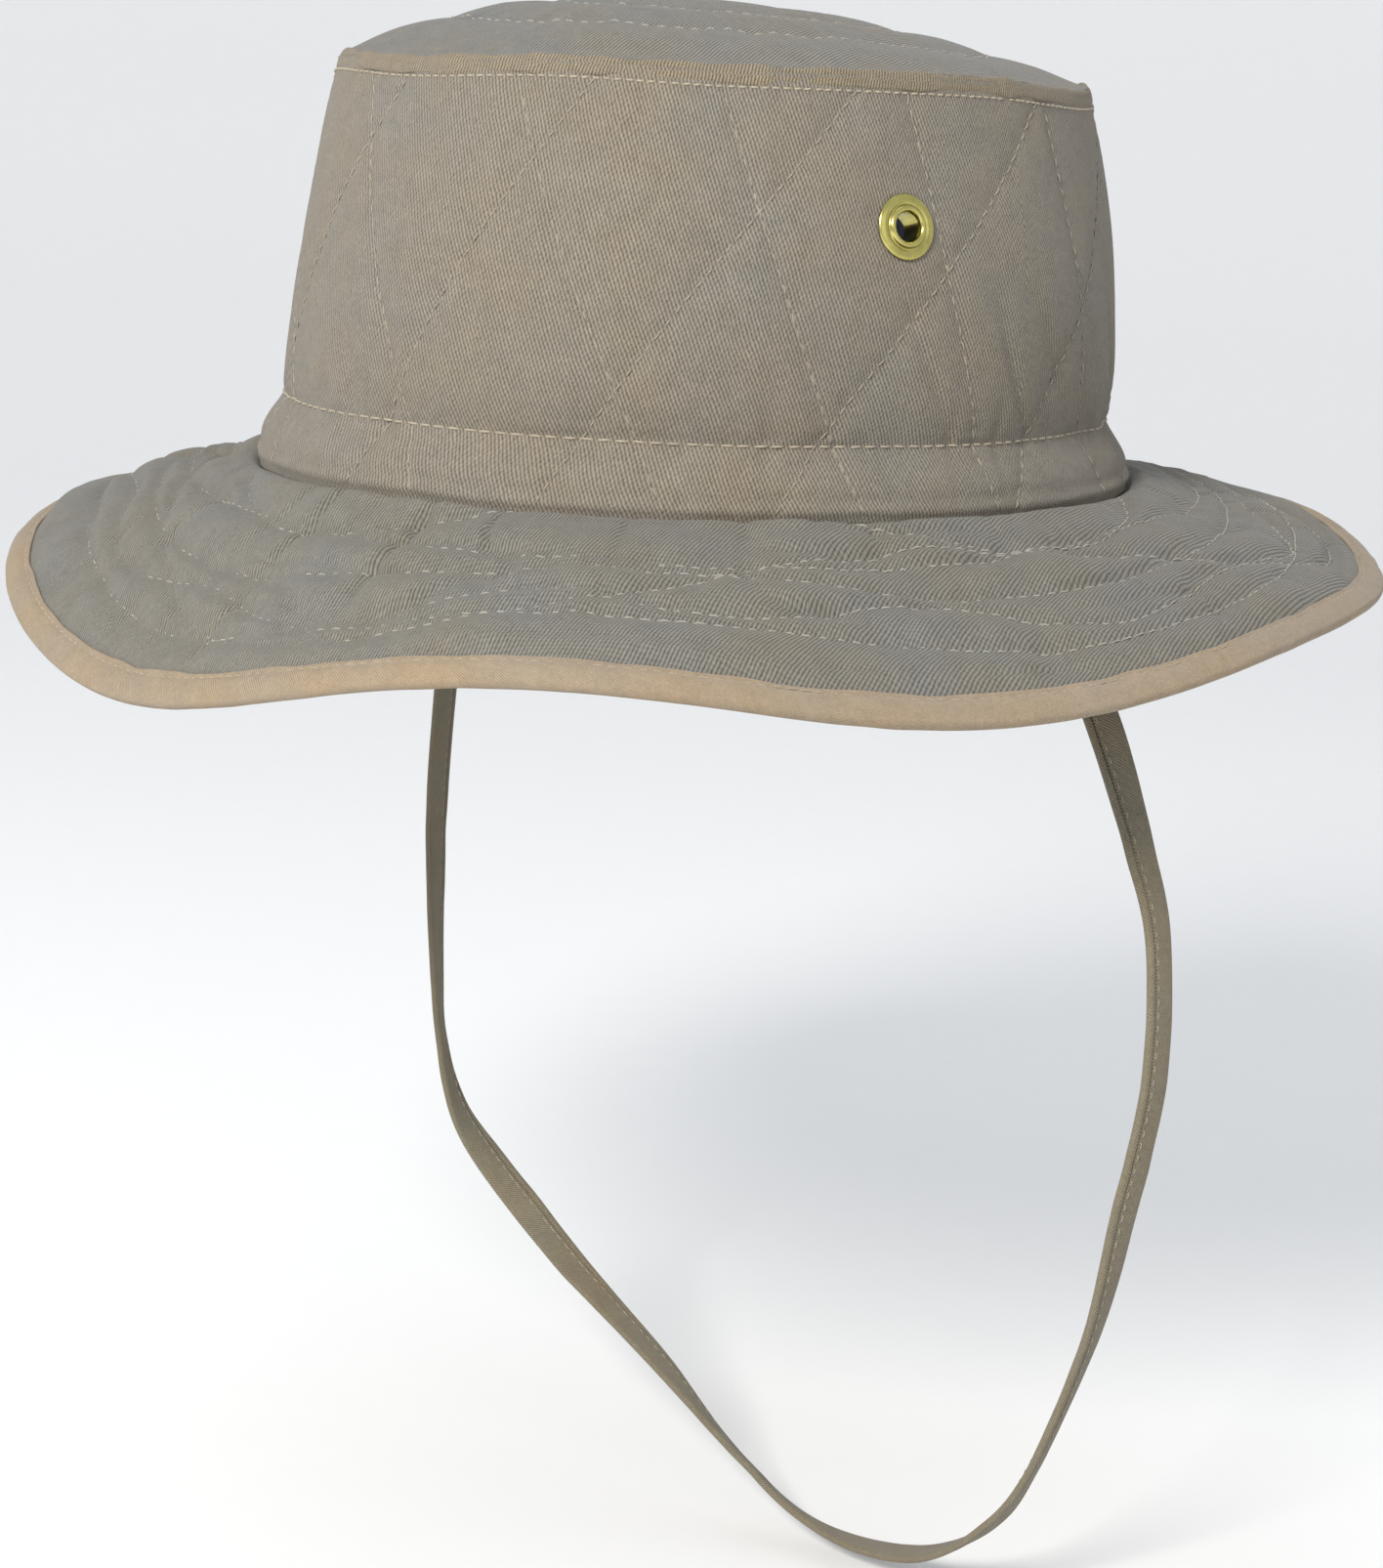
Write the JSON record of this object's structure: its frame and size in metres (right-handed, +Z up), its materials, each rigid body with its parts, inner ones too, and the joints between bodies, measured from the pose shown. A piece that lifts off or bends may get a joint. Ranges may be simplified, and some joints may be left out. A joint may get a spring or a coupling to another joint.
{
  "type": "boonie hat",
  "caption": "Quilted soft boonie hat with a domed crown, drooping bound brim, brass side eyelets, inner sweatband and a hanging flat chin strap.",
  "frame": {"origin": "middle of the head opening, in the plane where crown and brim meet", "axes": "+X the wearer's left, -Y the front of the hat, +Z up"},
  "size_m": [0.305, 0.3266, 0.359],
  "materials": {
    "crown_twill": "matte khaki cotton twill",
    "brim_twill": "matte grey khaki cotton twill",
    "tan_binding": "matte tan bias tape",
    "navy_lining": "dark navy woven lining",
    "batting_wadding": "soft off-white wadding",
    "sweatband_cotton": "matte cotton band",
    "tan_thread": "tan sewing thread",
    "eyelet_brass": "polished brass",
    "strap_twill": "matte dark olive twill tape"
  },
  "bodies": {
    "hat": {"crown_side_outer": "crown_twill", "crown_side_batting": "batting_wadding", "crown_side_lining": "navy_lining", "crown_top_outer": "crown_twill", "crown_top_batting": "batting_wadding", "crown_top_lining": "navy_lining", "top_seam_fold": "crown_twill", "top_seam_tape": "navy_lining", "sweatband": "sweatband_cotton", "base_seam_tape": "tan_binding", "band_stitch_thread": "tan_thread", "top_stitch_thread": "tan_thread", "brim_top_cover": "brim_twill", "brim_batting": "batting_wadding", "brim_under_cover": "brim_twill", "brim_binding": "tan_binding", "brim_stitch_thread_inner": "tan_thread", "brim_stitch_thread_middle": "tan_thread", "brim_stitch_thread_outer": "tan_thread", "binding_stitch_thread": "tan_thread", "eyelet_left_barrel": "eyelet_brass", "eyelet_left_washer": "eyelet_brass", "eyelet_right_barrel": "eyelet_brass", "eyelet_right_washer": "eyelet_brass", "strap_anchor_left": "strap_twill", "strap_anchor_right": "strap_twill"},
    "strap": {"chin_strap": "strap_twill"}
  },
  "joints": [
    {"name": "chin_strap_swing", "type": "hinge", "parent": "hat", "child": "strap", "pos_m": [0, 0.012, -0.005], "axis": [1, 0, 0], "range_deg": [-60, 60]}
  ]
}
